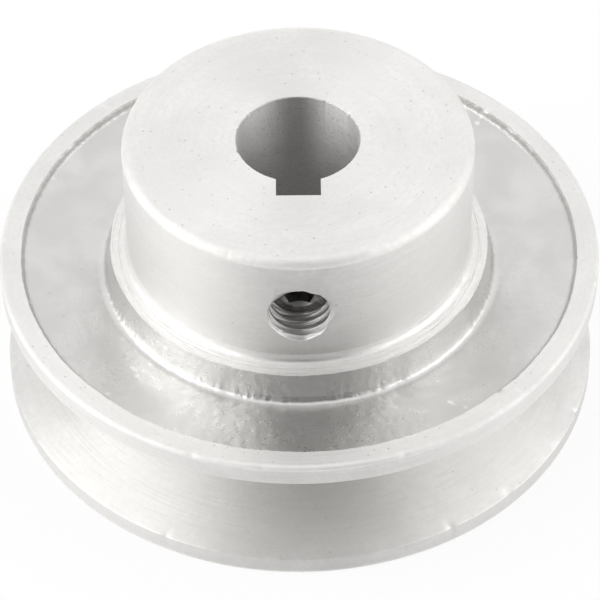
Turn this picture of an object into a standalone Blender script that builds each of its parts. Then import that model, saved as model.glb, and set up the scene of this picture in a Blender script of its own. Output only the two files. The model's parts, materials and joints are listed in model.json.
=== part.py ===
"""A single-groove V belt pulley: one aluminium casting with a bored and keyed hub, held on its shaft by a set screw.

It lies on its back face. +Z runs along the bore towards the hub's nose, and the keyway and the set screw face -Y.
"""

import math

import bmesh
import bpy

MM = 0.001

# The rim, for a belt with a 13 mm top width.
RIM_RADIUS = 35.0 * MM
RIM_WIDTH = 18.0 * MM
GROOVE_MOUTH = 13.0 * MM
GROOVE_DEPTH = 11.5 * MM
GROOVE_ANGLE = math.radians(34)
RIM_LAND = 2.5 * MM  # width of the flat ring left on each face of the rim, inside its outer edge

# The hub, whose nose stands past the rim's front face.
HUB_RADIUS = 20.0 * MM
HUB_NOSE = 16.5 * MM
HUB_FOOT = 2.0 * MM  # how much wider the casting is than the turned hub
BORE_RADIUS = 7.0 * MM
KEY_WIDTH = 5.0 * MM
KEY_DEPTH = 2.3 * MM

# The shallow dish cast into each face between the hub and the rim.
DISH_DEPTH = 2.8 * MM  # beside the hub
DISH_EDGE = 1.0 * MM  # beside the rim
DISH_FILLET = 0.8 * MM
DISH_EDGE_FILLET = 0.4 * MM
DRAFT = 0.6 * MM  # how far a cast wall leans over its height

# The turned ledge that joins the hub's nose to the cast foot.
LEDGE_HEIGHT = 0.8 * MM  # outer edge above the rim's front face
LEDGE_RISE = 0.2 * MM
LEDGE_FILLET = 1.1 * MM

# The set screw, M8 by 6 mm. Threads are drawn as plain cylinders either side of the pitch line.
SCREW_DROP = 8.2 * MM  # axis below the hub's nose
THREAD_RADIUS = 4.0 * MM
THREAD_PITCH = 1.25 * MM
THREAD_GAP = 0.3 * MM
SCREW_LENGTH = 6.0 * MM
SCREW_RECESS = 3.9 * MM  # screw's socket end below the hub's side, when parked
CUP_RADIUS = 2.5 * MM
CUP_DEPTH = 1.0 * MM
SOCKET_FLATS = 4.0 * MM
SOCKET_DEPTH = 3.0 * MM
SOCKET_TIP = 0.6 * MM

# Rounded and broken edges.
NOSE_ROUND = 0.8 * MM
RIM_ROUND = 0.5 * MM
BORE_CHAMFER = 0.1 * MM
SCREW_CHAMFER = 0.4 * MM

TURNED_STEPS = 96
SCREW_STEPS = 48

# Places worked out from the sizes above.
RIM_MIDDLE = RIM_WIDTH / 2
NOSE_HEIGHT = RIM_WIDTH + HUB_NOSE
SCREW_HEIGHT = NOSE_HEIGHT - SCREW_DROP
FOOT_RADIUS = HUB_RADIUS + HUB_FOOT
DISH_RADIUS = RIM_RADIUS - RIM_LAND
PITCH_RADIUS = THREAD_RADIUS - 0.325 * THREAD_PITCH  # of a metric thread
HOLE_RADIUS = PITCH_RADIUS + THREAD_GAP / 2
SCREW_RADIUS = PITCH_RADIUS - THREAD_GAP / 2


def clear_scene():
    for obj in list(bpy.data.objects):
        bpy.data.objects.remove(obj)


def finish_material(name, color, roughness):
    material = bpy.data.materials.new(name)
    material.use_nodes = True
    shader = material.node_tree.nodes["Principled BSDF"]
    shader.inputs["Base Color"].default_value = (*color, 1.0)
    shader.inputs["Roughness"].default_value = roughness
    shader.inputs["Metallic"].default_value = 1.0
    return material


def add_object(name, mesh, material=None):
    obj = bpy.data.objects.new(name, mesh)
    bpy.context.scene.collection.objects.link(obj)
    if material:
        mesh.materials.append(material)
    return obj


def arc(center, radius, start, end, steps):
    """Points (r, z) from the angle start to the angle end, in degrees, both included."""
    points = []
    for i in range(steps + 1):
        angle = math.radians(start + (end - start) * i / steps)
        points.append((center[0] + radius * math.cos(angle), center[1] + radius * math.sin(angle)))
    return points


def turned(name, outline, steps, material=None):
    """A ring or a solid turned about Z. The outline's (r, z) points run down its outer side."""
    mesh = bpy.data.meshes.new(name)
    built = bmesh.new()
    corners = [built.verts.new((r, 0, z)) for r, z in outline]
    closed = min(r for r, _ in outline) > 0
    for a, b in zip(corners, corners[1:] + corners[:1] if closed else corners[1:]):
        built.edges.new((a, b))
    built.to_mesh(mesh)
    built.free()
    obj = add_object(name, mesh, material)
    spin = obj.modifiers.new("turn", "SCREW")
    spin.steps = spin.render_steps = steps
    spin.use_merge_vertices = True
    spin.merge_threshold = 0.01 * MM
    return obj


def hide_cutter(obj):
    obj.hide_render = True
    obj.display_type = "WIRE"
    return obj


def cut(obj, cutter):
    boolean = obj.modifiers.new("cut " + cutter.name, "BOOLEAN")
    boolean.operation = "DIFFERENCE"
    boolean.object = cutter


def shade(obj):
    """Smooth shading that stays flat across edges, on the mesh as its modifiers leave it."""
    graph = bpy.context.evaluated_depsgraph_get()
    mesh = bpy.data.meshes.new_from_object(obj.evaluated_get(graph))
    obj.modifiers.clear()
    obj.data = mesh
    mesh.shade_smooth()
    mesh.set_sharp_from_angle(angle=math.radians(25))


def groove_outline():
    """The V groove, from its upper lip to its lower lip."""
    narrowing = GROOVE_DEPTH * math.tan(GROOVE_ANGLE / 2)
    half_mouth = GROOVE_MOUTH / 2
    half_floor = half_mouth - narrowing
    floor_radius = RIM_RADIUS - GROOVE_DEPTH
    return [
        (RIM_RADIUS, RIM_MIDDLE + half_mouth),
        (floor_radius, RIM_MIDDLE + half_floor),
        (floor_radius, RIM_MIDDLE - half_floor),
        (RIM_RADIUS, RIM_MIDDLE - half_mouth),
    ]


def dish_outline():
    """A dish's (r, depth) points from the rim's land to the foot of the hub, depth below the rim's face."""
    wall_foot = DISH_RADIUS - DISH_EDGE * DRAFT / DISH_DEPTH
    hub_foot = FOOT_RADIUS + DRAFT
    edge_center = (wall_foot - DISH_EDGE_FILLET, DISH_EDGE - DISH_EDGE_FILLET)
    foot_center = (hub_foot + DISH_FILLET, DISH_DEPTH - DISH_FILLET)
    return [
        (DISH_RADIUS, 0.0),
        *arc(edge_center, DISH_EDGE_FILLET, 0, 90, 2),
        *arc(foot_center, DISH_FILLET, 90, 180, 2),
    ]


def nose_outline():
    """The hub's nose, from its bore's front edge down to the outer edge of the turned ledge."""
    ledge_top = RIM_WIDTH + LEDGE_HEIGHT + LEDGE_RISE
    return [
        (BORE_RADIUS + BORE_CHAMFER, NOSE_HEIGHT),
        *arc((HUB_RADIUS - NOSE_ROUND, NOSE_HEIGHT - NOSE_ROUND), NOSE_ROUND, 90, 0, 3),
        *arc((HUB_RADIUS + LEDGE_FILLET, ledge_top + LEDGE_FILLET), LEDGE_FILLET, 180, 260, 4),
        (FOOT_RADIUS, RIM_WIDTH + LEDGE_HEIGHT),
    ]


def body_outline():
    """The whole section of the casting, round from the bore's front edge and down its outer side."""
    front_dish = [(r, RIM_WIDTH - depth) for r, depth in reversed(dish_outline())]
    back_dish = dish_outline()
    return [
        *nose_outline(),
        *front_dish,
        *arc((RIM_RADIUS - RIM_ROUND, RIM_WIDTH - RIM_ROUND), RIM_ROUND, 90, 0, 2),
        *groove_outline(),
        *arc((RIM_RADIUS - RIM_ROUND, RIM_ROUND), RIM_ROUND, 0, -90, 2),
        *back_dish,
        (FOOT_RADIUS, 0.0),
        (BORE_RADIUS + BORE_CHAMFER, 0.0),
        (BORE_RADIUS, BORE_CHAMFER),
        (BORE_RADIUS, NOSE_HEIGHT - BORE_CHAMFER),
    ]


def keyway_cutter():
    """A bar as wide as the key, from inside the bore to the keyway's floor and past both faces."""
    past = 2 * MM
    size = (KEY_WIDTH, BORE_RADIUS + KEY_DEPTH, NOSE_HEIGHT + 2 * past)
    built = bmesh.new()
    bmesh.ops.create_cube(built, size=1.0)
    bmesh.ops.scale(built, vec=size, verts=built.verts)
    bmesh.ops.translate(built, vec=(0, -size[1] / 2, NOSE_HEIGHT / 2), verts=built.verts)
    mesh = bpy.data.meshes.new("keyway_cutter")
    built.to_mesh(mesh)
    built.free()
    return hide_cutter(add_object("keyway_cutter", mesh))


def lay_along_screw(obj, distance):
    """Turns an object built along +Z so that its +Z points out of the screw hole, its origin this far from the bore."""
    obj.rotation_euler = (math.radians(90), 0, 0)
    obj.location = (0, -distance, SCREW_HEIGHT)
    return obj


def hole_cutter():
    """The tapped hole with its countersunk mouth, from inside the bore out past the hub's side."""
    past = 1 * MM
    inner_end = math.sqrt(BORE_RADIUS**2 - HOLE_RADIUS**2) - past
    outline = [
        (0.0, past),
        (THREAD_RADIUS + past, past),
        (HOLE_RADIUS, HOLE_RADIUS - THREAD_RADIUS),
        (HOLE_RADIUS, inner_end - HUB_RADIUS),
        (0.0, inner_end - HUB_RADIUS),
    ]
    cutter = turned("screw_hole_cutter", outline, SCREW_STEPS)
    return hide_cutter(lay_along_screw(cutter, HUB_RADIUS))


def socket_cutter():
    """The hexagonal key socket, with a conical bottom."""
    past = 1 * MM
    corner = SOCKET_FLATS / math.sqrt(3)
    built = bmesh.new()
    rings = []
    for z in (past, -SOCKET_DEPTH):
        ring = []
        for i in range(6):
            angle = math.radians(60 * i)
            ring.append(built.verts.new((corner * math.cos(angle), corner * math.sin(angle), z)))
        rings.append(ring)
    tip = built.verts.new((0, 0, -SOCKET_DEPTH - SOCKET_TIP))
    built.faces.new(rings[0])
    for i in range(6):
        j = (i + 1) % 6
        built.faces.new((rings[0][j], rings[0][i], rings[1][i], rings[1][j]))
        built.faces.new((rings[1][j], rings[1][i], tip))
    bmesh.ops.recalc_face_normals(built, faces=built.faces)
    mesh = bpy.data.meshes.new("socket_cutter")
    built.to_mesh(mesh)
    built.free()
    return hide_cutter(lay_along_screw(add_object("socket_cutter", mesh), HUB_RADIUS - SCREW_RECESS))


def make_body():
    material = finish_material("cast_aluminium", (0.66, 0.65, 0.63), 0.38)
    body = turned("pulley_body", body_outline(), TURNED_STEPS, material)
    cut(body, keyway_cutter())
    cut(body, hole_cutter())
    shade(body)


def make_set_screw():
    material = finish_material("black_oxide_steel", (0.06, 0.06, 0.055), 0.45)
    point_step = SCREW_RADIUS - CUP_RADIUS
    outline = [
        (0.0, 0.0),
        (SCREW_RADIUS - SCREW_CHAMFER, 0.0),
        (SCREW_RADIUS, -SCREW_CHAMFER),
        (SCREW_RADIUS, -SCREW_LENGTH + point_step),
        (CUP_RADIUS, -SCREW_LENGTH),
        (0.0, -SCREW_LENGTH + CUP_DEPTH),
    ]
    screw = turned("set_screw", outline, SCREW_STEPS, material)
    lay_along_screw(screw, HUB_RADIUS - SCREW_RECESS)
    cut(screw, socket_cutter())
    shade(screw)


clear_scene()
make_body()
make_set_screw()
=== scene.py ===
# %% [markdown]
# # A cast aluminium V belt pulley
# This pulley is one casting. The foundry leaves a sandy skin in its dishes, and a lathe then cuts the faces,
# the hub, the groove and the bore bright. A black socket set screw in the hub's side holds it on its shaft.
#
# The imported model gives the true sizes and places. Everything below is a finer skin over that model: the same
# section with its small roundings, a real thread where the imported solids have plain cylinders, and the marks
# that each tool left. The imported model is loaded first, because every place comes from it.

import json
import math

import bpy
import numpy as np
from mathutils import Matrix, Vector, noise

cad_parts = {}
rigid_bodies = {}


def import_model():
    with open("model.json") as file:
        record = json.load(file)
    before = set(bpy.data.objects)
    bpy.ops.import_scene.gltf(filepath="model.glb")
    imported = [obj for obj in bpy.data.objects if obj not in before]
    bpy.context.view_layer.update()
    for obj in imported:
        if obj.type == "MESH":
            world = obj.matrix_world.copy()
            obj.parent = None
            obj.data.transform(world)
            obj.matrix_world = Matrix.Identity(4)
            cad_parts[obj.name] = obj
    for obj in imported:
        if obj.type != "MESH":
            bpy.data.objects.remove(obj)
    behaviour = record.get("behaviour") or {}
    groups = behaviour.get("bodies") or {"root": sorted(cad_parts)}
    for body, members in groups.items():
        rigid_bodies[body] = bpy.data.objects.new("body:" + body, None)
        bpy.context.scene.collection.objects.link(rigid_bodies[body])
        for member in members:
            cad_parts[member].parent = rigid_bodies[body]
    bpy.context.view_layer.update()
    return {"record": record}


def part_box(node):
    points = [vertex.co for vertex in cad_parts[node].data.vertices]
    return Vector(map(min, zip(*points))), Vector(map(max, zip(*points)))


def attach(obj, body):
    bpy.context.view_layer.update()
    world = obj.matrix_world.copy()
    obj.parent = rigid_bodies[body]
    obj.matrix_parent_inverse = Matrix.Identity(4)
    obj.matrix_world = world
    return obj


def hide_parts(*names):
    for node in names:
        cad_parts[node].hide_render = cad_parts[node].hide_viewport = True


for leftover in list(bpy.data.objects):
    bpy.data.objects.remove(leftover)

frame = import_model()

# %% [markdown]
# ## Sizes
# A turned part is fixed by a few diameters and lengths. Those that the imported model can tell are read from
# its boxes and from its mounts, so that they can't drift away from it. The rest are the sizes of small
# features inside those, such as the groove's angle and the thread, and each is written once, in millimetres.

# %% Sizes read from the frame
MM = 0.001

body_low, body_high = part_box("pulley_body")
screw_low, screw_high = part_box("set_screw")
mount_at = {mount["name"]: Vector(mount["pos_m"]) for mount in frame["record"]["mounts"]}

RIM_RADIUS = body_high.x
NOSE_HEIGHT = body_high.z
RIM_WIDTH = mount_at["rim_front_face"].z
KEY_FLOOR = -mount_at["keyway_floor"].y
KEY_WIDTH = mount_at["keyway_right_side"].x - mount_at["keyway_left_side"].x
SCREW_HEIGHT = (screw_low.z + screw_high.z) / 2
SCREW_FACE = -screw_low.y
SCREW_LENGTH = screw_high.y - screw_low.y
sizes = (2 * RIM_RADIUS, RIM_WIDTH, NOSE_HEIGHT)
print("rim across, rim wide and overall:", [round(size / MM, 1) for size in sizes], "mm")

# %% Sizes of the small features
HUB_RADIUS = 20.0 * MM
FOOT_RADIUS = 22.0 * MM
BORE_RADIUS = 7.0 * MM
DISH_RADIUS = 32.5 * MM
DISH_DEPTH = 2.8 * MM
DISH_EDGE = 1.0 * MM
DRAFT = 0.6 * MM
GROOVE_MOUTH = 13.0 * MM
GROOVE_DEPTH = 11.5 * MM
GROOVE_ANGLE = math.radians(34)
LEDGE_HEIGHT = 0.8 * MM
LEDGE_RISE = 0.2 * MM
LEDGE_FILLET = 1.1 * MM
NOSE_ROUND = 1.0 * MM
RIM_ROUND = 0.5 * MM
BROKEN_EDGE = 0.1 * MM
THREAD_RADIUS = 4.0 * MM
THREAD_PITCH = 1.25 * MM

# %% [markdown]
# ## The section, as a list of runs
# A lathe part is one outline swept round an axis. Here the outline is swept by hand instead, with numpy,
# because each stretch of it has to remember which tool made it: faced, turned, filed, run out over the
# ledge, grooved, bored, or not cut at all. Those are the runs below.
#
# Smooth shading bends the light across a whole face if its two edges have different normals. So each arc
# starts and ends with a short straight lead, which keeps the long faces beside it flat.

# %% Points along arcs and straights
LEAD = 0.04 * MM


def arc(center, radius, start, end, steps, lead=0.0):
    """Points (r, z) on an arc between two angles in degrees, with a straight lead at each end."""
    angles = np.radians(np.linspace(start, end, steps + 1))
    points = [(center[0] + radius * math.cos(a), center[1] + radius * math.sin(a)) for a in angles]
    if lead:
        turn = math.copysign(lead, end - start)
        first, last = angles[0], angles[-1]
        before = (points[0][0] + turn * math.sin(first), points[0][1] - turn * math.cos(first))
        after = (points[-1][0] - turn * math.sin(last), points[-1][1] + turn * math.cos(last))
        points = [before, *points, after]
    return points


def straight(start, end, spacing):
    """Points from start to end, both included, no further apart than the spacing."""
    count = max(1, math.ceil(math.dist(start, end) / spacing))
    return [tuple(np.array(start) + (np.array(end) - np.array(start)) * i / count) for i in range(count + 1)]


print("a quarter round in six steps:", len(arc((0, 0), MM, 90, 0, 6, LEAD)), "points")

# %% [markdown]
# ### The hub's nose
# The nose is turned in one setting: the end is faced, its edge is rounded over, and the side is cut down to a
# small fillet. The tool stops there for a moment, which leaves a fine line, and then runs out over a narrow
# ledge to the rough foot of the casting. Where a long face meets a corner it gets one more point a short way
# in, the guard, so that nothing done to the corner later on reaches across the face.

# %% The nose and its ledge
GUARD = 0.7 * MM
LEDGE_TOP = RIM_WIDTH + LEDGE_HEIGHT + LEDGE_RISE
STOP_LINE = 0.05 * MM
NOSE_SPACING = 1.6 * MM


def nose_runs():
    edge = arc((HUB_RADIUS - NOSE_ROUND, NOSE_HEIGHT - NOSE_ROUND), NOSE_ROUND, 90, 0, 7, LEAD)
    fillet = arc((HUB_RADIUS + LEDGE_FILLET, LEDGE_TOP + LEDGE_FILLET), LEDGE_FILLET, 180, 260, 9, LEAD)
    stop_r, stop_z = fillet[-1]
    return [
        ("faced", [
            (BORE_RADIUS + BROKEN_EDGE, NOSE_HEIGHT),
            (BORE_RADIUS + GUARD, NOSE_HEIGHT),
            (HUB_RADIUS - NOSE_ROUND - GUARD, NOSE_HEIGHT),
            edge[0],
        ]),
        ("filed", edge),
        ("turned", straight(edge[-1], fillet[0], NOSE_SPACING)),
        ("ledge", [
            *fillet,
            (stop_r + STOP_LINE, stop_z - STOP_LINE),
            (stop_r + 2 * STOP_LINE, stop_z),
            (FOOT_RADIUS, RIM_WIDTH + LEDGE_HEIGHT),
        ]),
    ]


print("ledge from radius", round((HUB_RADIUS + LEDGE_FILLET) / MM, 2), "to", FOOT_RADIUS / MM, "mm")

# %% [markdown]
# ### The dish
# Between the hub and the rim both faces are left as cast. The floor falls towards the hub, and the walls lean
# a little so that the casting comes out of its mould. These runs get many points, because the skin's
# unevenness is put into the mesh itself further down, and a point can only move where there is one.

# %% A dish, from the hub's foot to the rim's face
HUB_FILLET = 0.8 * MM
RIM_FILLET = 0.7 * MM
FINE = 0.33 * MM
COARSE = 1.2 * MM


def dish_run(spacing, foot_top):
    """Points (r, depth) from the top of the foot out to the rim, depth below the rim's face."""
    wall_foot = DISH_RADIUS - DISH_EDGE * DRAFT / DISH_DEPTH
    foot = FOOT_RADIUS + DRAFT
    foot_round = arc((foot + HUB_FILLET, DISH_DEPTH - HUB_FILLET), HUB_FILLET, 180, 90, 4)
    rim_round = arc((wall_foot - RIM_FILLET, DISH_EDGE - RIM_FILLET), RIM_FILLET, 90, 0, 4)
    return [
        *straight((FOOT_RADIUS, foot_top), foot_round[0], spacing),
        *foot_round[1:],
        *straight(foot_round[-1], rim_round[0], spacing)[1:],
        *rim_round[1:],
        *straight(rim_round[-1], (DISH_RADIUS, 0.0), spacing)[1:],
    ]


print("front dish:", len(dish_run(FINE, -LEDGE_HEIGHT)), "points")

# %% [markdown]
# ### The rim and its groove
# The belt runs on the two flanks of the V and never touches its floor. The flanks meet the lands at a lip
# that the lathe hand breaks with a file, and the rim's outer corners are rounded so that they don't cut the
# belt.

# %% The rim
LIP_ROUND = 0.08 * MM
FLOOR_ROUND = 0.5 * MM


def upper_lip(z):
    """The broken edge between the upper land and its flank."""
    reach = LIP_ROUND * math.tan(math.pi / 4 - GROOVE_ANGLE / 4)
    center = (RIM_RADIUS - LIP_ROUND, z + reach)
    return arc(center, LIP_ROUND, 0, math.degrees(GROOVE_ANGLE) / 2 - 90, 3, LEAD / 2)


def groove_points():
    """The upper lip, the upper flank and its corner, and their mirror images below."""
    middle, half = RIM_WIDTH / 2, GROOVE_MOUTH / 2
    floor_half = half - GROOVE_DEPTH * math.tan(GROOVE_ANGLE / 2)
    floor_r = RIM_RADIUS - GROOVE_DEPTH
    lean = math.degrees(GROOVE_ANGLE) / 2
    corner = FLOOR_ROUND * math.tan(math.pi / 4 - GROOVE_ANGLE / 4)
    center = (floor_r + FLOOR_ROUND, middle + floor_half - corner)
    top_corner = arc(center, FLOOR_ROUND, 90 + lean, 180, 5, LEAD)
    slope = math.tan(GROOVE_ANGLE / 2)
    guards = [(RIM_RADIUS - deep, middle + half - deep * slope) for deep in (GUARD, 2 * GUARD)]
    top_half = [*upper_lip(middle + half), *guards, *top_corner]
    return [*top_half, *[(r, 2 * middle - z) for r, z in reversed(top_half)]]


def rim_runs():
    edge = arc((RIM_RADIUS - RIM_ROUND, RIM_WIDTH - RIM_ROUND), RIM_ROUND, 90, 0, 6, LEAD)
    back_edge = [(r, RIM_WIDTH - z) for r, z in reversed(edge)]
    groove = groove_points()
    return [
        ("faced", [(DISH_RADIUS, RIM_WIDTH), (DISH_RADIUS + GUARD, RIM_WIDTH), edge[0]]),
        ("filed", edge),
        ("turned", [edge[-1], groove[0]]),
        ("grooved", groove),
        ("turned", [groove[-1], back_edge[0]]),
        ("filed", back_edge),
        ("faced", [back_edge[-1], (DISH_RADIUS, 0.0)]),
    ]


print("groove outline:", len(groove_points()), "points")

# %% [markdown]
# ### The whole section
# The runs are joined into one closed loop: nose, front dish, rim, back dish, back face and bore. The back
# isn't machined away from the front's pattern: it has the same dish, and its hub is faced flush with the rim,
# so that the pulley lies flat on the bench.

# %% Join the runs


def section():
    front = [(r, RIM_WIDTH - depth) for r, depth in dish_run(FINE, -LEDGE_HEIGHT)]
    back = [(r, depth) for r, depth in reversed(dish_run(COARSE, 0.0))]
    bore_end = BORE_RADIUS + BROKEN_EDGE
    return [
        *nose_runs(),
        ("cast", front),
        *rim_runs(),
        ("cast", back),
        ("faced", [(FOOT_RADIUS, 0.0), (bore_end, 0.0)]),
        ("bored", [
            (bore_end, 0.0),
            (BORE_RADIUS, BROKEN_EDGE),
            (BORE_RADIUS, GUARD),
            (BORE_RADIUS, NOSE_HEIGHT / 2),
            (BORE_RADIUS, NOSE_HEIGHT - GUARD),
            (BORE_RADIUS, NOSE_HEIGHT - BROKEN_EDGE),
            (bore_end, NOSE_HEIGHT),
        ]),
    ]


print("runs:", [f"{finish} {len(points)}" for finish, points in section()])

# %% [markdown]
# ## Sweep the section round
# Each run's points become rings of points, and each gap between two points becomes a ring of four-sided faces
# that carries the run's finish as its material number. 600 steps put the points just over a third of a
# millimetre apart at the rim, which is fine enough for the casting's unevenness and still light enough to cut
# quickly.

# %% The lathe
FINISHES = ("faced", "turned", "filed", "ledge", "grooved", "bored", "cast", "cut")
STEPS = 600
SAME_PLACE = 1e-7


def joined(runs):
    """The runs as one closed list of points, and the finish of the stretch that starts at each point."""
    points, finishes = [], []
    for finish, run in runs:
        for a, b in zip(run, run[1:]):
            if math.dist(a, b) > SAME_PLACE:
                points.append(a)
                finishes.append(finish)
    return np.array(points), finishes


def new_object(name, points, faces):
    """An object in the scene with a new mesh."""
    mesh = bpy.data.meshes.new(name)
    mesh.from_pydata(points, [], faces)
    obj = bpy.data.objects.new(name, mesh)
    bpy.context.scene.collection.objects.link(obj)
    return obj


def step_angles(steps):
    return np.arange(steps) * (2 * math.pi / steps)


def sweep(name, runs, steps):
    """A closed ring of faces turned about Z from closed runs."""
    points, finishes = joined(runs)
    angles = step_angles(steps)
    rings = np.empty((len(points), steps, 3))
    rings[:, :, 0] = points[:, :1] * np.cos(angles)
    rings[:, :, 1] = points[:, :1] * np.sin(angles)
    rings[:, :, 2] = points[:, 1:]
    ring = np.arange(len(points))[:, None] * steps
    below = np.roll(ring, -1, axis=0)
    step, next_step = np.arange(steps), np.roll(np.arange(steps), -1)
    quads = np.stack([ring + step, below + step, below + next_step, ring + next_step], axis=-1)
    obj = new_object(name, rings.reshape(-1, 3).tolist(), quads.reshape(-1, 4).tolist())
    numbers = np.repeat([FINISHES.index(finish) for finish in finishes], steps)
    obj.data.polygons.foreach_set("material_index", numbers.astype(np.int32))
    return obj, points, finishes


pulley, outline, outline_finish = sweep("pulley_casting", section(), STEPS)
print("swept", len(outline), "points into", len(pulley.data.polygons), "faces")

# %% [markdown]
# ## The casting's skin
# A sand casting is never quite round or flat. Its walls wander by some hundredths of a millimetre and its
# surface is grainy, and where they meet the dish's floor the mould leaves a little flash. So the line where
# the lathe's cut meets the rough skin is ragged. A Displace modifier would move every point the same way.
# Here the points of the cast runs move along the outline's own normal, and the points that a machined face
# shares with the skin slide only along that face, because the lathe cut it flat afterwards.

# %% Unevenness of the cast skin
SKIN_WANDER = 0.06 * MM
SKIN_GRAIN = 0.02 * MM
FLASH = 0.09 * MM
FLASH_RADIUS = FOOT_RADIUS + 0.75 * MM
FLASH_REACH = 0.42 * MM
RIM_FLASH_RADIUS = DISH_RADIUS - 0.4 * MM
PER_MM = {"wander": 0.16, "streaks": 0.9, "grain": 1.7, "flash": 2.8}
UPRIGHT_STRETCH = 0.15
LEAST_SLOPE = 0.5


def lump(at, kind, shift=(0, 0, 0)):
    """Smooth noise between -1 and 1 at a place in millimetres. The kind sets its lumps in a millimetre."""
    return noise.noise(at * PER_MM[kind] + Vector(shift))


def skin_offset(place):
    """How far the cast skin stands out of its true surface at a place, in metres."""
    at = Vector(place) / MM
    upright = Vector((at.x, at.y, at.z * UPRIGHT_STRETCH))
    skin = lump(at, "wander") * SKIN_WANDER
    skin += lump(upright, "streaks", (7, 3, 1)) * SKIN_GRAIN
    skin += lump(at, "grain", (2, 9, 4)) * SKIN_GRAIN
    radius = math.hypot(place[0], place[1])
    from_flash = min(abs(radius - FLASH_RADIUS), abs(radius - RIM_FLASH_RADIUS)) / FLASH_REACH
    return skin + lump(upright, "flash", (5, 5, 5)) * FLASH * max(0.0, 1.0 - from_flash)


def unit(vector):
    return vector / np.linalg.norm(vector)


def skin_direction(i):
    """The way outline point i moves as its skin swells: its normal, or along the machined face it ends."""
    before, here, after = outline[i - 1], outline[i], outline[(i + 1) % len(outline)]
    along = unit(after - before)
    normal = np.array([-along[1], along[0]])
    if outline_finish[i - 1] != "cast":
        face = unit(before - here)
    elif outline_finish[i] != "cast":
        face = unit(after - here)
    else:
        return normal
    return -face / max(abs(face @ normal), LEAST_SLOPE)


def roughen(obj, steps):
    places = np.empty(len(obj.data.vertices) * 3, np.float32)
    obj.data.vertices.foreach_get("co", places)
    places = places.reshape(len(outline), steps, 3)
    angles = step_angles(steps)
    moved = 0
    for i in range(len(outline)):
        if "cast" not in (outline_finish[i], outline_finish[i - 1]):
            continue
        out, up = skin_direction(i)
        offsets = np.array([skin_offset(place) for place in places[i]])
        places[i, :, 0] += offsets * out * np.cos(angles)
        places[i, :, 1] += offsets * out * np.sin(angles)
        places[i, :, 2] += offsets * up
        moved += steps
    obj.data.vertices.foreach_set("co", places.ravel())
    return moved


print("moved", roughen(pulley, STEPS), "points of the skin")

# %% [markdown]
# ### Knocks on the edges
# Aluminium is soft, so its outer corners carry small knocks. Each one is a smooth dimple pressed into the
# corner, at a chosen angle round the rim. A sculpting brush could press them by hand, but numbers can be
# changed later.

# %% Press the knocks in
# Degrees round the axis from the right side, then the length along the edge and the depth, in millimetres.
RIM_KNOCKS = (
    (-110, 0.7, 0.10), (-97, 0.5, 0.09), (-71, 0.8, 0.10),
    (-50, 0.9, 0.12), (31, 1.1, 0.14), (150, 0.9, 0.10),
)
LIP_KNOCKS = (
    (-116, 0.6, 0.12), (-92, 1.6, 0.14), (-61, 0.7, 0.18),
    (-47, 1.0, 0.22), (-22, 0.8, 0.15), (72, 1.2, 0.16),
)
INNER_KNOCKS = (
    (22, 0.5, 0.12), (30, 0.9, 0.18), (37, 1.0, 0.20),
    (45, 0.6, 0.13), (-47, 0.8, 0.12), (148, 0.9, 0.10),
)
BORE_KNOCKS = (
    (18, 0.5, 0.10), (36, 0.7, 0.12), (63, 0.4, 0.08),
    (142, 0.5, 0.10), (166, 0.8, 0.12), (196, 0.7, 0.12),
)
NOSE_KNOCKS = (
    (-121, 0.6, 0.04), (-113, 0.5, 0.05), (-64, 0.7, 0.04),
    (-40, 0.6, 0.05), (110, 0.8, 0.06),
)
WAVER = 0.04 * MM
WAVERS_ROUND = 40


def knock_edge(obj, corner, inward, reach, knocks):
    """Presses knocks into the points nearer than the reach to a corner (r, z), which also wavers a little."""
    angles = step_angles(STEPS)
    outward = [Vector((math.cos(angle), math.sin(angle), 0)) for angle in angles]
    depth = np.array([abs(noise.noise(way * WAVERS_ROUND)) * WAVER for way in outward])
    for angle, length, deep in knocks:
        turn = np.radians((np.degrees(angles) - angle + 180) % 360 - 180)
        along = turn * corner[0] / (length * MM / 2)
        depth = np.maximum(depth, deep * MM * np.exp(-(along ** 2)))
    for i in np.flatnonzero(np.linalg.norm(outline - np.array(corner), axis=1) < reach):
        fade = 1.0 - math.dist(outline[i], corner) / reach
        for step, way in enumerate(outward):
            point = obj.data.vertices[int(i) * STEPS + step].co
            point += way * (inward[0] * depth[step] * fade)
            point.z += inward[1] * depth[step] * fade


knock_edge(pulley, (RIM_RADIUS, RIM_WIDTH), (-1.0, -1.0), 0.9 * MM, RIM_KNOCKS)
knock_edge(pulley, (RIM_RADIUS, (RIM_WIDTH - GROOVE_MOUTH) / 2), (-1.0, -0.8), 0.55 * MM, LIP_KNOCKS)
knock_edge(pulley, (DISH_RADIUS, RIM_WIDTH), (1.0, -0.8), 0.5 * MM, INNER_KNOCKS)
knock_edge(pulley, (BORE_RADIUS, NOSE_HEIGHT), (1.0, -1.0), 0.5 * MM, BORE_KNOCKS)
knock_edge(pulley, (HUB_RADIUS, NOSE_HEIGHT), (-1.0, -1.0), 1.1 * MM, NOSE_KNOCKS)
all_knocks = (RIM_KNOCKS, LIP_KNOCKS, INNER_KNOCKS, BORE_KNOCKS, NOSE_KNOCKS)
print("knocks:", sum(len(knocks) for knocks in all_knocks))

# %% [markdown]
# ## The thread
# An M8 thread is a ridge that climbs 1.25 mm each turn, with flanks at 60 degrees to each other. The Screw
# modifier can wind one, but it leaves loose ends. Here four rows of points follow the helix, the edges of the
# ridge's crest and of its root, so that a turn's last column joins the next turn's first. One function serves
# the tap that cuts the hole and the screw that goes in it: the screw's ridge is thinner by the clearance. The
# hole is drilled a little large before it is tapped, as is common in soft castings, so its thread is
# shallower than the screw's.

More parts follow.
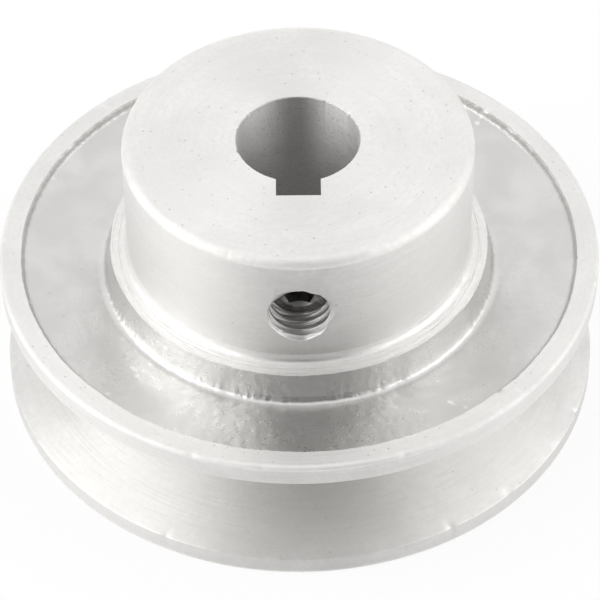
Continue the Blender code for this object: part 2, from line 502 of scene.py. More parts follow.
# %% Wind a threaded rod
THREAD_STEPS = 72
THREAD_FLANK = math.radians(30)
CREST_HALF = THREAD_PITCH / 16
HOLE_THREAD_DEPTH = 0.50 * THREAD_PITCH
SCREW_THREAD_DEPTH = 0.541 * THREAD_PITCH
DRILLED_RADIUS = THREAD_RADIUS - HOLE_THREAD_DEPTH


def thread_rows(depth, clearance):
    """The four (radius, offset along the axis) rows of one turn, from root to crest to root."""
    slope = math.tan(THREAD_FLANK)
    crest = THREAD_RADIUS - clearance
    root = crest - depth
    crest_half = CREST_HALF + clearance * (slope - 1)
    root_half = crest_half + (crest - root) * slope
    return [(root, -root_half), (crest, -crest_half), (crest, crest_half), (root, root_half)]


def threaded_rod(name, start, turns, depth, clearance):
    """A closed rod along +Z with a right-hand thread. Its ends are blunt cones, trimmed off later."""
    rows = thread_rows(depth, clearance)
    points = []
    for row in range(4 * turns):
        radius, offset = rows[row % 4]
        for i in range(THREAD_STEPS):
            angle = 2 * math.pi * i / THREAD_STEPS
            climb = THREAD_PITCH * (row // 4 + i / THREAD_STEPS)
            points.append((radius * math.cos(angle), radius * math.sin(angle), start + climb + offset))

    def at(row, i):
        return (row + 4) * THREAD_STEPS if i == THREAD_STEPS else row * THREAD_STEPS + i

    faces = []
    for row in range(4 * turns - 1):
        for i in range(THREAD_STEPS):
            if i < THREAD_STEPS - 1 or row + 5 < 4 * turns:
                faces.append((at(row, i), at(row, i + 1), at(row + 1, i + 1), at(row + 1, i)))
    last = 4 * turns - 1
    bottom = [at(0, i) for i in range(THREAD_STEPS)] + [at(row, 0) for row in (4, 3, 2, 1)]
    top = [at(last, i) for i in range(THREAD_STEPS)]
    top += [at(row, THREAD_STEPS - 1) for row in range(last - 1, last - 5, -1)]
    end = start + turns * THREAD_PITCH
    for loop, tip_z in ((bottom[::-1], start - 2 * THREAD_PITCH), (top, end + 2 * THREAD_PITCH)):
        points.append((0.0, 0.0, tip_z))
        for a, b in zip(loop, loop[1:] + loop[:1]):
            faces.append((a, b, len(points) - 1))
    rod = new_object(name, points, faces)
    rod.data.validate()
    return rod


def along_screw(obj):
    """Turns an object built along +Z so that its +Z points out of the hub."""
    obj.matrix_world = Matrix.Translation((0, 0, SCREW_HEIGHT)) @ Matrix.Rotation(math.radians(90), 4, "X")
    return obj


TURNS_TO_HUB = 14
PAST_HUB = 2 * MM
THREAD_START = HUB_RADIUS + PAST_HUB - TURNS_TO_HUB * THREAD_PITCH
tap = along_screw(threaded_rod("tap", THREAD_START, TURNS_TO_HUB, HOLE_THREAD_DEPTH, 0.0))
print("tap:", len(tap.data.polygons), "faces")

# %% [markdown]
# ## The other cutters
# The keyway is broached: a flat bar with sharp corners. The screw hole's mouth is countersunk by hand, so its
# edge isn't a clean circle. A little noise on the countersink's radius gives that chattered edge.

# %% A small lathe for solid pieces, the keyway bar and the countersink
CHATTERS_ROUND = 2.6
CHATTER_CLIMB = 0.5


def solid_of_revolution(name, profile, steps, chatter=0.0):
    """A closed solid turned about Z from (r, z) points down its outer side, both ends on the axis."""
    points = [(0.0, 0.0, profile[0][1])]
    for r, z in profile[1:-1]:
        for i in range(steps):
            angle = 2 * math.pi * i / steps
            place = Vector((math.cos(angle), math.sin(angle), z / MM * CHATTER_CLIMB))
            radius = r + chatter * noise.noise(place * CHATTERS_ROUND)
            points.append((radius * math.cos(angle), radius * math.sin(angle), z))
    points.append((0.0, 0.0, profile[-1][1]))
    faces, rings = [], len(profile) - 2
    for i in range(steps):
        j = (i + 1) % steps
        faces.append((0, 1 + i, 1 + j))
        faces.append((len(points) - 1, 1 + (rings - 1) * steps + j, 1 + (rings - 1) * steps + i))
        for k in range(rings - 1):
            top, low = 1 + k * steps, 1 + (k + 1) * steps
            faces.append((top + i, low + i, low + j, top + j))
    return new_object(name, points, faces)


def bar(name, low, high):
    """A closed bar between two corners."""
    corners = [(x, y, z) for x in (low[0], high[0]) for y in (low[1], high[1]) for z in (low[2], high[2])]
    faces = [(0, 1, 3, 2), (4, 6, 7, 5), (0, 4, 5, 1), (2, 3, 7, 6), (0, 2, 6, 4), (1, 5, 7, 3)]
    return new_object(name, corners, faces)


SINK_CHATTER = 0.24 * MM
SINK_RADIUS = THREAD_RADIUS - 0.10 * MM
PAST = 1.0 * MM
countersink = along_screw(solid_of_revolution("countersink", [
    (0.0, HUB_RADIUS + PAST),
    (SINK_RADIUS + PAST, HUB_RADIUS + PAST),
    (SINK_RADIUS + PAST / 4, HUB_RADIUS + PAST / 4),
    (SINK_RADIUS, HUB_RADIUS),
    (SINK_RADIUS - PAST / 4, HUB_RADIUS - PAST / 4),
    (DRILLED_RADIUS, HUB_RADIUS - (SINK_RADIUS - DRILLED_RADIUS)),
    (0.0, HUB_RADIUS - 2 * PAST),
], 96, SINK_CHATTER))
key_bar = bar("key_bar", (-KEY_WIDTH / 2, -KEY_FLOOR, -PAST), (KEY_WIDTH / 2, 0.0, NOSE_HEIGHT + PAST))
print("cutters:", [cutter.name for cutter in (tap, countersink, key_bar)])

# %% [markdown]
# ## Cut the casting
# Boolean modifiers cut in the order of their stack. The exact solver is slow on fine meshes but always gives
# a closed one. The faces that a cutter leaves take its material number, so every cutter's faces get the
# number of the finish "cut" first.

# %% Cut, and keep the result as a plain mesh
CASTING_SHARP = math.radians(38)
THREAD_SHARP = math.radians(30)


def number_faces(obj, finish):
    numbers = np.full(len(obj.data.polygons), FINISHES.index(finish), np.int32)
    obj.data.polygons.foreach_set("material_index", numbers)


def apply_cuts(obj, cutters, operation="DIFFERENCE"):
    for cutter in cutters:
        boolean = obj.modifiers.new(cutter.name, "BOOLEAN")
        boolean.object = cutter
        boolean.operation = operation
        boolean.solver = "EXACT"
    graph = bpy.context.evaluated_depsgraph_get()
    mesh = bpy.data.meshes.new_from_object(obj.evaluated_get(graph))
    obj.modifiers.clear()
    obj.data = mesh
    for cutter in cutters:
        bpy.data.objects.remove(cutter)


for cutter in (tap, countersink, key_bar):
    number_faces(cutter, "cut")
apply_cuts(pulley, (key_bar, tap, countersink))
pulley.data.shade_smooth()
pulley.data.set_sharp_from_angle(angle=CASTING_SHARP)
print("pulley:", sum(len(face.vertices) - 2 for face in pulley.data.polygons), "triangles")

# %% [markdown]
# ## The set screw
# A socket set screw is a length of threaded rod with a hexagon socket in one end and a cup point in the
# other. The rod is trimmed to a turned blank, whose chamfers fade the thread out at both ends, and the socket
# is cut with a hexagonal prism that ends in a drill's cone.

# %% Trim the rod and cut its socket
SCREW_CLEARANCE = 0.04 * MM
CUP_RADIUS = 2.5 * MM
CUP_DEPTH = 1.0 * MM
SOCKET_FLATS = 4.0 * MM
SOCKET_DEPTH = 3.0 * MM
SOCKET_TIP = 0.6 * MM
SOCKET_SINK = 0.25 * MM
screw_end = SCREW_FACE - SCREW_LENGTH
end_chamfer = 0.75 * MM

rod = threaded_rod("socket_set_screw", THREAD_START, TURNS_TO_HUB, SCREW_THREAD_DEPTH, SCREW_CLEARANCE)
set_screw = along_screw(rod)
blank = along_screw(solid_of_revolution("blank", [
    (0.0, SCREW_FACE),
    (THREAD_RADIUS - end_chamfer, SCREW_FACE),
    (THREAD_RADIUS + PAST, SCREW_FACE - end_chamfer - PAST),
    (THREAD_RADIUS + PAST, screw_end + THREAD_RADIUS + PAST - CUP_RADIUS),
    (CUP_RADIUS, screw_end),
    (0.0, screw_end + CUP_DEPTH),
], 96))


def socket_cutter():
    corner = SOCKET_FLATS / math.sqrt(3)
    profile = [
        (0.0, SCREW_FACE + PAST),
        (corner, SCREW_FACE + PAST),
        (corner, SCREW_FACE - SOCKET_DEPTH),
        (0.0, SCREW_FACE - SOCKET_DEPTH - SOCKET_TIP),
    ]
    return along_screw(solid_of_revolution("hexagon", profile, 6))


def socket_countersink():
    corner = SOCKET_FLATS / math.sqrt(3)
    profile = [
        (0.0, SCREW_FACE + PAST),
        (corner + SOCKET_SINK / 2 + PAST, SCREW_FACE + PAST),
        (SOCKET_FLATS / 2, SCREW_FACE - (corner + SOCKET_SINK / 2 - SOCKET_FLATS / 2)),
        (0.0, SCREW_FACE - SOCKET_DEPTH / 2),
    ]
    return along_screw(solid_of_revolution("socket_sink", profile, 48))


apply_cuts(set_screw, (blank,), "INTERSECT")
apply_cuts(set_screw, (socket_cutter(), socket_countersink()))
set_screw.data.shade_smooth()
set_screw.data.set_sharp_from_angle(angle=THREAD_SHARP)
print("set screw:", sum(len(face.vertices) - 2 for face in set_screw.data.polygons), "triangles")

# %% [markdown]
# ## Finishes: a small helper
# Materials here are node trees. This helper adds one node, sets its properties and fills its inputs. An input
# given as another node's output is linked, and anything else is typed in.

# %% Add a node


def add(tree, kind, inputs=None, **settings):
    made = tree.nodes.new(kind)
    for key, value in settings.items():
        setattr(made, key, value)
    for key, value in (inputs or {}).items():
        if isinstance(value, bpy.types.NodeSocket):
            tree.links.new(value, made.inputs[key])
        else:
            made.inputs[key].default_value = value
    return made


def math_node(tree, operation, *values, clamp=False):
    made = add(tree, "ShaderNodeMath", dict(enumerate(values)), operation=operation, use_clamp=clamp)
    return made.outputs[0]


def times(tree, first, second):
    return math_node(tree, "MULTIPLY", first, second)


def remap(tree, value, low, high, new_low=0.0, new_high=1.0, smooth=True):
    kind = "SMOOTHSTEP" if smooth else "LINEAR"
    inputs = {"Value": value, "From Min": low, "From Max": high, "To Min": new_low, "To Max": new_high}
    return add(tree, "ShaderNodeMapRange", inputs, interpolation_type=kind).outputs[0]


def noise_of(tree, place, scale, detail, **more):
    inputs = {"Vector": place, "Scale": scale, "Detail": detail, **more}
    return add(tree, "ShaderNodeTexNoise", inputs).outputs[0]


def blend_colors(tree, factor, first, second):
    mix = add(tree, "ShaderNodeMix", data_type="RGBA")
    for socket, value in ((mix.inputs[0], factor), (mix.inputs[6], first), (mix.inputs[7], second)):
        if isinstance(value, bpy.types.NodeSocket):
            tree.links.new(value, socket)
        else:
            socket.default_value = value
    return mix.outputs[2]


def new_group(name, inputs, outputs):
    """An empty node group with named number inputs and outputs, and its two end nodes."""
    group = bpy.data.node_groups.new(name, "ShaderNodeTree")
    for key, value in inputs.items():
        socket = group.interface.new_socket(name=key, in_out="INPUT", socket_type="NodeSocketFloat")
        socket.default_value = value
    for key in outputs:
        group.interface.new_socket(name=key, in_out="OUTPUT", socket_type="NodeSocketFloat")
    return group, group.nodes.new("NodeGroupInput").outputs, group.nodes.new("NodeGroupOutput").inputs


def place_group(tree, group, **inputs):
    made = add(tree, "ShaderNodeGroup", node_tree=group)
    for key, value in inputs.items():
        made.inputs[key].default_value = value
    return made.outputs


# %% [markdown]
# ### Tool marks
# A lathe tool leaves a very fine spiral. On an end face it shows as rings, and on the hub's side as lines
# round it. A wave texture would be too even, so this is noise that changes only with one number: the distance
# from the axis plus the height. That number runs across every turned surface, flat, round or tapered. Across
# turns it into the distance along the screw hole, for the marks that the tap and the broach leave. The tool
# also rubs here and there and leaves short dashes along its path. They come from a noise that changes with
# that number and with the direction from the axis, which unlike an angle has no seam.

# %% The tool mark group
DASHES_ROUND = 6.0
BAND_RATE = 0.12
settings = {"Spacing": 0.1, "Wobble": 0.3, "Across": 0.0}
tool_marks, given, out = new_group("tool marks", settings, ["Line", "Band", "Dash"])
coords = add(tool_marks, "ShaderNodeTexCoord").outputs["Object"]
axes = add(tool_marks, "ShaderNodeSeparateXYZ", {0: coords}).outputs
flat_place = add(tool_marks, "ShaderNodeCombineXYZ", {0: axes[0], 1: axes[1]}).outputs[0]
radius = add(tool_marks, "ShaderNodeVectorMath", {0: flat_place}, operation="LENGTH").outputs["Value"]
feed = math_node(tool_marks, "ADD", radius, axes[2])
to_hole = math_node(tool_marks, "SUBTRACT", axes[1], feed)
travel = math_node(tool_marks, "MULTIPLY_ADD", given["Across"], to_hole, feed)
travel = math_node(tool_marks, "DIVIDE", travel, MM)
drift = noise_of(tool_marks, coords, 90.0, 1.0)
travel = math_node(tool_marks, "MULTIPLY_ADD", drift, given["Wobble"], travel)
turn_count = math_node(tool_marks, "DIVIDE", travel, given["Spacing"])
slow_count = times(tool_marks, turn_count, BAND_RATE)
for name, count, detail in (("Line", turn_count, 2.0), ("Band", slow_count, 1.0)):
    inputs = {"W": count, "Scale": 1.0, "Detail": detail}
    rings = add(tool_marks, "ShaderNodeTexNoise", inputs, noise_dimensions="1D").outputs[0]
    tool_marks.links.new(rings, out[name])
outward = add(tool_marks, "ShaderNodeVectorMath", {0: flat_place}, operation="NORMALIZE").outputs[0]
around = add(tool_marks, "ShaderNodeSeparateXYZ", {0: outward}).outputs
side = [times(tool_marks, axis, DASHES_ROUND) for axis in (around[0], around[1])]
dash_place = add(tool_marks, "ShaderNodeCombineXYZ", {0: turn_count, 1: side[0], 2: side[1]}).outputs[0]
dash = noise_of(tool_marks, dash_place, 1.0, 1.0)
tool_marks.links.new(remap(tool_marks, dash, 0.56, 0.68), out["Dash"])
print("tool marks:", len(tool_marks.nodes), "nodes")

# %% [markdown]
# ### Pores
# Cast aluminium holds small gas pores, and turning opens some of them as tiny pits. This mask marks them. The
# materials sink them with a bump and paint them darker, and that darker colour is painted shade inside the
# pits. They are scattered dots of random size: a Voronoi texture gives each cell a centre and a random colour,
# and only the cells whose random number is low enough get a dot. A little noise on the place keeps the dots
# from being round.

# %% The pore group
PORE_WOBBLE = 0.12 * MM
pores, given, out = new_group("pores", {"Spacing": 1.5, "Size": 0.1, "Share": 0.3}, ["Pore"])
coords = add(pores, "ShaderNodeTexCoord").outputs["Object"]
bent = add(pores, "ShaderNodeTexNoise", {"Vector": coords, "Scale": 4000.0, "Detail": 1.0}).outputs["Color"]
amount = {0: bent, "Scale": PORE_WOBBLE}
wobbled = add(pores, "ShaderNodeVectorMath", amount, operation="SCALE").outputs[0]
coords = add(pores, "ShaderNodeVectorMath", {0: coords, 1: wobbled}, operation="ADD").outputs[0]
cells_per_metre = math_node(pores, "DIVIDE", 1 / MM, given["Spacing"])
cells = add(pores, "ShaderNodeTexVoronoi", {"Vector": coords, "Scale": cells_per_metre})
chance = add(pores, "ShaderNodeSeparateColor", {0: cells.outputs["Color"]}).outputs
reach = times(pores, cells.outputs["Distance"], given["Spacing"])
size = times(pores, given["Size"], math_node(pores, "ADD", chance[1], 0.3))
dot = math_node(pores, "SUBTRACT", 1.0, math_node(pores, "DIVIDE", reach, size), clamp=True)
chosen = math_node(pores, "LESS_THAN", chance[0], given["Share"])
pores.links.new(times(pores, dot, chosen), out["Pore"])
print("pores:", len(pores.nodes), "nodes")

# %% [markdown]
# ### Casting grain
# The skin copies the sand it was poured against: grains of a quarter of a millimetre with a few larger lumps.
# The mesh already carries the lumps. This group adds the grains as a height, and picks out the few that face
# the light and glitter.

# %% The casting grain group
grain, given, out = new_group("casting grain", {"Grain": 0.25}, ["Height", "Glint"])
coords = add(grain, "ShaderNodeTexCoord").outputs["Object"]
per_metre = math_node(grain, "DIVIDE", 1 / MM, given["Grain"])
sand = noise_of(grain, coords, per_metre, 3.0, Roughness=0.6)
lump_scale = times(grain, per_metre, 0.35)
lumps = noise_of(grain, coords, lump_scale, 2.0)
height = math_node(grain, "MULTIPLY_ADD", lumps, 1.5, sand)
grain.links.new(height, out["Height"])
facets = add(grain, "ShaderNodeTexVoronoi", {"Vector": coords, "Scale": per_metre})
lit = add(grain, "ShaderNodeSeparateColor", {0: facets.outputs["Color"]}).outputs[0]
grain.links.new(remap(grain, lit, 0.86, 0.97), out["Glint"])
print("casting grain:", len(grain.nodes), "nodes")

# %% [markdown]
# ### Handling
# Turned aluminium dulls in patches where it has been held and wiped, it flecks, and it picks up fine
# scratches. The patches are slow noise and the flecks are fast noise. The scratches are noise stretched thin
# along one direction and cut off high, so that only a few hairlines are left.

# %% The handling group
handling, given, out = new_group("handling", {"Patch": 8.0, "Scratches": 0.5}, ["Dull", "Fleck", "Scratch"])
coords = add(handling, "ShaderNodeTexCoord").outputs["Object"]
patch_scale = math_node(handling, "DIVIDE", 1 / MM, given["Patch"])
dull = noise_of(handling, coords, patch_scale, 3.0, Distortion=0.4)
handling.links.new(remap(handling, dull, 0.3, 0.7), out["Dull"])
fleck = noise_of(handling, coords, 1600.0, 3.0, Roughness=0.7)
handling.links.new(remap(handling, fleck, 0.35, 0.65), out["Fleck"])
HAIR_ANGLES = (25, 100, 155)
hairs = []
for angle in HAIR_ANGLES:
    stretch = {"Vector": coords, "Rotation": (0.3, 0.2, math.radians(angle)), "Scale": (1.0, 26.0, 26.0)}
    turned = add(handling, "ShaderNodeMapping", stretch).outputs[0]
    hair = noise_of(handling, turned, 130.0, 0.0)
    hairs.append(remap(handling, hair, 0.80, 0.84))
hair = math_node(handling, "MAXIMUM", math_node(handling, "MAXIMUM", hairs[0], hairs[1]), hairs[2])
handling.links.new(times(handling, hair, given["Scratches"]), out["Scratch"])
print("handling:", len(handling.nodes), "nodes")

# %% [markdown]
# ### Edge wear
# Corners rub on everything, which polishes bare metal and wears a coating through. Blender's pointiness
# measures how sharply the mesh turns at each point, so it finds the corners and the thread's crests by
# itself.

# %% The edge wear group
edge_wear, given, out = new_group("edge wear", {"Start": 0.56, "Full": 0.66}, ["Worn"])
turn = add(edge_wear, "ShaderNodeNewGeometry").outputs["Pointiness"]
coords = add(edge_wear, "ShaderNodeTexCoord").outputs["Object"]
uneven = noise_of(edge_wear, coords, 900.0, 2.0)
worn = remap(edge_wear, turn, given["Start"], given["Full"])
worn = times(edge_wear, worn, remap(edge_wear, uneven, 0.35, 0.6))
edge_wear.links.new(worn, out["Worn"])
print("edge wear:", len(edge_wear.nodes), "nodes")

# %% [markdown]
# ## The aluminium, one way for each tool
# Every machined finish is the same metal, so they share one colour and one recipe. What differs is the
# roughness, how bright the metal is left, the spacing and depth of the tool's marks, and how many pores are
# open. The bump depths run from a few thousandths of a millimetre under the file to a tenth on the ledge, and
# the noise uses only the middle of that range. Level is how bright the metal is, and stretch is how far the
# marks spread its shine.

# %% The metal recipe
ALUMINIUM = (0.875, 0.866, 0.850)
# Painted shade: the pores take this dark grey in place of the shade inside the tiny pits.
PORE_PIT_SHADE = (0.55, 0.55, 0.54, 1.0)
WORN_BRIGHT = (0.90, 0.895, 0.885, 1.0)
ROUGH_SWING = 0.04
PIT_DEPTH = 0.03 * MM
CAST_PIT_DEPTH = 0.05 * MM
SAND_DEPTH = 0.024 * MM
SCRATCH_DEPTH = 0.003 * MM
DULLED, FLECKED, DASHED = 0.7, 0.45, 0.6


def shade_of(color, level):
    return (color[0] * level, color[1] * level, color[2] * level, 1.0)


def metal_material(name):
    """A new material with its tree and its Principled shader, set to plain metal."""
    material = bpy.data.materials.new(name)
    material.use_nodes = True
    shader = material.node_tree.nodes["Principled BSDF"]
    shader.inputs["Metallic"].default_value = 1.0
    return material, material.node_tree, shader


def bump(tree, height, depth, under=None):
    inputs = {"Height": height, "Strength": 1.0, "Distance": depth}
    if under is not None:
        inputs["Normal"] = under
    return add(tree, "ShaderNodeBump", inputs).outputs[0]


def turned_grain(tree, shader, amount):
    """Spreads the shine across the tool marks, which run round the axis."""
    round_the_axis = add(tree, "ShaderNodeTangent", direction_type="RADIAL", axis="Z").outputs[0]
    tree.links.new(round_the_axis, shader.inputs["Tangent"])
    shader.inputs["Anisotropic"].default_value = amount
    shader.inputs["Anisotropic Rotation"].default_value = 0.25


def machined_aluminium(name, roughness, spacing, mark_depth, pore_share, pore_spacing, level, stretch,
                       worn_from=0.56, across=0.0):
    """Lengths are in millimetres."""
    material, tree, shader = metal_material(name)
    marks = place_group(tree, tool_marks, Spacing=spacing, Wobble=0.25, Across=across)
    pits_and_pit_shade = place_group(tree, pores, Spacing=pore_spacing, Size=0.16, Share=pore_share)["Pore"]
    wear = place_group(tree, handling, Patch=9.0, Scratches=0.3)
    worn = place_group(tree, edge_wear, Start=worn_from, Full=worn_from + 0.1)["Worn"]
    metal, duller = shade_of(ALUMINIUM, level), shade_of(ALUMINIUM, 0.90 * level)
    color = blend_colors(tree, times(tree, wear["Dull"], DULLED), metal, duller)
    color = blend_colors(tree, remap(tree, marks["Band"], 0.35, 0.65, 0.0, 0.25), color, duller)
    color = blend_colors(tree, times(tree, wear["Fleck"], FLECKED), color, duller)
    color = blend_colors(tree, times(tree, marks["Dash"], DASHED), color, duller)
    color = blend_colors(tree, worn, color, WORN_BRIGHT)
    # Painted shade: the pores turn dark grey, for the shade inside the pits.
    color = blend_colors(tree, pits_and_pit_shade, color, PORE_PIT_SHADE)
    tree.links.new(color, shader.inputs["Base Color"])
    rough = remap(tree, marks["Line"], 0.3, 0.7, roughness - ROUGH_SWING, roughness + ROUGH_SWING)
    rough = math_node(tree, "MULTIPLY_ADD", wear["Fleck"], 0.05, rough)
    rough = math_node(tree, "MULTIPLY_ADD", wear["Dull"], 0.06, rough)
    rough = math_node(tree, "MULTIPLY_ADD", worn, -0.08, rough)
    tree.links.new(rough, shader.inputs["Roughness"])
    relief = bump(tree, math_node(tree, "MULTIPLY_ADD", marks["Dash"], -0.3, marks["Line"]), mark_depth * MM)
    relief = bump(tree, times(tree, pits_and_pit_shade, -1.0), PIT_DEPTH, relief)
    relief = bump(tree, times(tree, wear["Scratch"], -1.0), SCRATCH_DEPTH, relief)
    tree.links.new(relief, shader.inputs["Normal"])
    turned_grain(tree, shader, stretch)
    return material


# Roughness, the marks' spacing and depth, the pores' share and spacing, level and stretch.
MACHINED = {
    "faced": (0.42, 0.18, 0.018, 0.50, 0.80, 1.03, 0.6),
    "turned": (0.42, 0.24, 0.010, 0.50, 1.30, 0.95, 0.8),
    "filed": (0.58, 0.35, 0.004, 0.30, 1.30, 1.03, 0.3),
    "ledge": (0.46, 0.30, 0.100, 0.30, 1.30, 1.04, 0.5),
    "grooved": (0.42, 0.24, 0.010, 0.50, 1.30, 1.05, 0.8),
    "bored": (0.52, 0.30, 0.030, 0.80, 0.45, 0.90, 0.8),
}
CUT = (0.42, 0.20, 0.080, 0.30, 1.30, 0.82, 0.0)
finish_of = {key: machined_aluminium(f"{key} aluminium", *row) for key, row in MACHINED.items()}
finish_of["cut"] = machined_aluminium("broached and tapped aluminium", *CUT, worn_from=0.9, across=1.0)
print("machined finishes:", list(finish_of))

# %% [markdown]
# ## The cast skin
# The dishes keep the skin that the sand gave them. It is darker than cut metal. Where it has been handled its
# grain is worn down and its shine is duller, so its roughness and its bump follow the same slow patches.

# %% The cast finish, and the finishes in their slots


def cast_aluminium():
    material, tree, shader = metal_material("cast aluminium")
    sand = place_group(tree, grain, Grain=0.26)
    pits_and_pit_shade = place_group(tree, pores, Spacing=1.6, Size=0.24, Share=0.2)["Pore"]
    wear = place_group(tree, handling, Patch=7.0, Scratches=0.0)
    worn = place_group(tree, edge_wear, Start=0.58, Full=0.66)["Worn"]
    light, dark = shade_of(ALUMINIUM, 0.84), shade_of(ALUMINIUM, 0.70)
    color = blend_colors(tree, times(tree, wear["Dull"], 0.6), light, dark)
    color = blend_colors(tree, worn, color, WORN_BRIGHT)
    # Painted shade: the cast skin's pores turn part way to dark grey, for the shade inside the pits.
    color = blend_colors(tree, times(tree, pits_and_pit_shade, 0.6), color, PORE_PIT_SHADE)
    tree.links.new(color, shader.inputs["Base Color"])
    rough = remap(tree, wear["Dull"], 0.0, 1.0, 0.31, 0.37)
    rough = math_node(tree, "MULTIPLY_ADD", sand["Glint"], -0.07, rough)
    tree.links.new(rough, shader.inputs["Roughness"])
    coarse = math_node(tree, "MULTIPLY_ADD", wear["Dull"], -0.7, 1.0)
    height = times(tree, sand["Height"], coarse)
    relief = bump(tree, height, SAND_DEPTH)
    relief = bump(tree, times(tree, pits_and_pit_shade, -1.0), CAST_PIT_DEPTH, relief)
    tree.links.new(relief, shader.inputs["Normal"])
    return material


finish_of["cast"] = cast_aluminium()
for finish in FINISHES:
    pulley.data.materials.append(finish_of[finish])
print("pulley finishes:", [material.name for material in pulley.data.materials])

# %% [markdown]
# ## Black oxide
# The set screw is hardened steel, blackened in a hot salt bath and oiled. The black is thin, so it wears
# through to grey steel on the sharpest edges first: the thread's crests and the rim of the socket.

# %% The set screw's finish


def black_oxide():
    material, tree, shader = metal_material("black oxide steel")
    black, steel = (0.23, 0.23, 0.225, 1.0), (0.45, 0.44, 0.43, 1.0)
    wear = place_group(tree, handling, Patch=2.5, Scratches=0.4)
    worn = place_group(tree, edge_wear, Start=0.54, Full=0.62)["Worn"]
    color = blend_colors(tree, worn, black, steel)
    tree.links.new(color, shader.inputs["Base Color"])
    rough = remap(tree, wear["Dull"], 0.0, 1.0, 0.42, 0.58)
    tree.links.new(rough, shader.inputs["Roughness"])
    coords = add(tree, "ShaderNodeTexCoord").outputs["Object"]
    crystal = noise_of(tree, coords, 6000.0, 2.0)
    tree.links.new(bump(tree, crystal, SCRATCH_DEPTH), shader.inputs["Normal"])
    return material


set_screw.data.materials.clear()
set_screw.data.materials.append(black_oxide())
print("set screw finish:", set_screw.data.materials[0].name)

# %% [markdown]
# ## Put the pieces on their bodies
# Each piece stands for the imported solid that it refines, which is hidden, and moves with that solid's body.

# %% Ride and replace
for piece, node, body, finish in (
    (pulley, "pulley_body", "pulley", "cast_aluminium"),
    (set_screw, "set_screw", "set_screw", "black_oxide_steel"),
):
    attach(piece, body)
    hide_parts(node)

# %% [markdown]
# ## The table
# The floor is white to the eye but keeps a trace of the pulley's shadow, so that the pulley stands on
# something. Light Path tells the shader which ray is asking: a ray from the camera gets mostly plain white, a
# reflection in the metal gets some of it, and the light that the floor itself scatters stays true.

# %% The floor
FLOOR_HALF = 1.5
FLOOR_THICK = 0.02
FLOOR_GAP = 0.02 * MM
KEPT_SHADOW = 0.12
REFLECTED_WHITE = 0.05


def make_floor():
    floor = bar("table", (-FLOOR_HALF, -FLOOR_HALF, -FLOOR_THICK), (FLOOR_HALF, FLOOR_HALF, -FLOOR_GAP))
    material = bpy.data.materials.new("white table")
    material.use_nodes = True
    tree = material.node_tree
    tree.nodes.remove(tree.nodes["Principled BSDF"])
    matt = add(tree, "ShaderNodeBsdfDiffuse", {"Color": (0.92, 0.92, 0.92, 1.0)})
    rays = add(tree, "ShaderNodeLightPath").outputs
    white = add(tree, "ShaderNodeEmission", {"Color": (1.0, 1.0, 1.0, 1.0), "Strength": 1.0})
    seen = times(tree, rays["Is Camera Ray"], 1.0 - KEPT_SHADOW)
    mirrored = math_node(tree, "MAXIMUM", rays["Is Glossy Ray"], rays["Is Transmission Ray"])
    share = math_node(tree, "MAXIMUM", seen, times(tree, mirrored, REFLECTED_WHITE))
    mix = add(tree, "ShaderNodeMixShader", {0: share, 1: matt.outputs[0], 2: white.outputs[0]})
    tree.links.new(mix.outputs[0], tree.nodes["Material Output"].inputs["Surface"])
    floor.data.materials.append(material)


make_floor()
print("table:", round(2 * FLOOR_HALF, 1), "m square")

# %% [markdown]
# ## Light
# Bright metal shows its surroundings more than its own colour, so it stands in a white tent with a large soft
# lamp on each side. The tent is open towards the camera, and that darker opening is what gives the metal its
# greys: the bore, the foot of the hub and the front of the dish all mirror it. A world shader can tell which
# way a ray leaves the scene, so the opening is painted there as a tall slit in front, with soft edges. Its
# numbers are parts of a unit direction: sideways, to the back, and up.

# %% The tent
TENT = 1.0
OPENING = 0.03
SLIT_MIDDLE = 0.05
SLIT_SIDES = (0.30, 0.55)
SLIT_FRONT = (-0.45, -0.15)
SLIT_TOP = (0.70, 0.93)


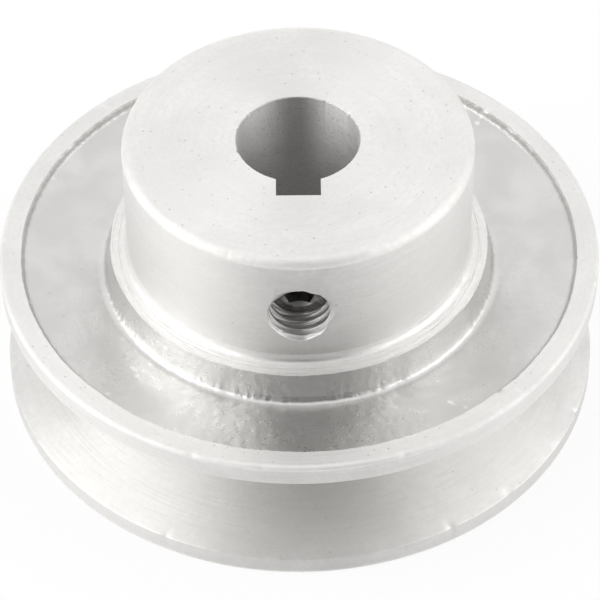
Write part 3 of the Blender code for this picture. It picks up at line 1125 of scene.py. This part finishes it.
def make_world():
    world = bpy.data.worlds.new("white tent")
    bpy.context.scene.world = world
    world.use_nodes = True
    tree = world.node_tree
    background = tree.nodes["Background"]
    leaving = add(tree, "ShaderNodeTexCoord").outputs["Generated"]
    right, back, up = add(tree, "ShaderNodeSeparateXYZ", {0: leaving}).outputs
    sideways = math_node(tree, "ABSOLUTE", math_node(tree, "SUBTRACT", right, SLIT_MIDDLE))
    slit = remap(tree, sideways, *SLIT_SIDES, 1.0, 0.0)
    front = remap(tree, back, *SLIT_FRONT, 1.0, 0.0)
    low = remap(tree, up, *SLIT_TOP, 1.0, 0.0)
    open_here = times(tree, times(tree, slit, front), low)
    level = remap(tree, open_here, 0.0, 1.0, TENT, OPENING, smooth=False)
    rays = add(tree, "ShaderNodeLightPath").outputs
    level = add(tree, "ShaderNodeMix", {0: rays["Is Camera Ray"], 2: level, 3: 1.0}).outputs[0]
    tree.links.new(level, background.inputs["Strength"])
    background.inputs["Color"].default_value = (1.0, 1.0, 1.0, 1.0)


make_world()
print("tent", TENT, "and its opening", OPENING)

# %% The lamps
LAMPS_AIM = Vector((0, 0, 0.015))


def add_lamp(name, place, width, height, brightness):
    """A rectangular lamp that faces the pulley. Its brightness is the light that it shows per area."""
    lamp = bpy.data.lights.new(name, "AREA")
    lamp.shape = "RECTANGLE"
    lamp.size, lamp.size_y = width, height
    lamp.energy = brightness * math.pi * width * height
    obj = bpy.data.objects.new(name, lamp)
    bpy.context.scene.collection.objects.link(obj)
    obj.location = place
    obj.rotation_euler = (LAMPS_AIM - Vector(place)).to_track_quat("-Z", "Y").to_euler()


add_lamp("left lamp", (-0.50, -0.15, 0.33), 0.60, 0.48, 1.6)
add_lamp("right lamp", (0.52, -0.09, 0.31), 0.55, 0.44, 0.92)
bpy.context.scene.view_settings.view_transform = "Standard"

# %% [markdown]
# ## Camera
# A long lens from a good third of a metre away, looking down at a little over 45 degrees, shows the nose, the
# dish and the groove at once and keeps the circles close to true ellipses.

# %% The camera
CAMERA_DISTANCE = 0.34144
CAMERA_ELEVATION = math.radians(45.65)
CAMERA_ROLL = math.radians(-0.54)
CAMERA_LENS = 171.6
AIM = Vector((0.00006, 0.0, 0.00842))


def make_camera():
    data = bpy.data.cameras.new("camera")
    data.sensor_width = 36.0
    data.lens = CAMERA_LENS
    data.clip_start, data.clip_end = 0.01, 20.0
    camera = bpy.data.objects.new("camera", data)
    bpy.context.scene.collection.objects.link(camera)
    back = Vector((0.0, -math.cos(CAMERA_ELEVATION), math.sin(CAMERA_ELEVATION)))
    camera.location = AIM + back * CAMERA_DISTANCE
    upright = (-back).to_track_quat("-Z", "Y").to_matrix()
    camera.rotation_euler = (upright @ Matrix.Rotation(CAMERA_ROLL, 3, "Z")).to_euler()
    bpy.context.scene.camera = camera


make_camera()
print("camera at", [round(x, 3) for x in bpy.context.scene.camera.location])
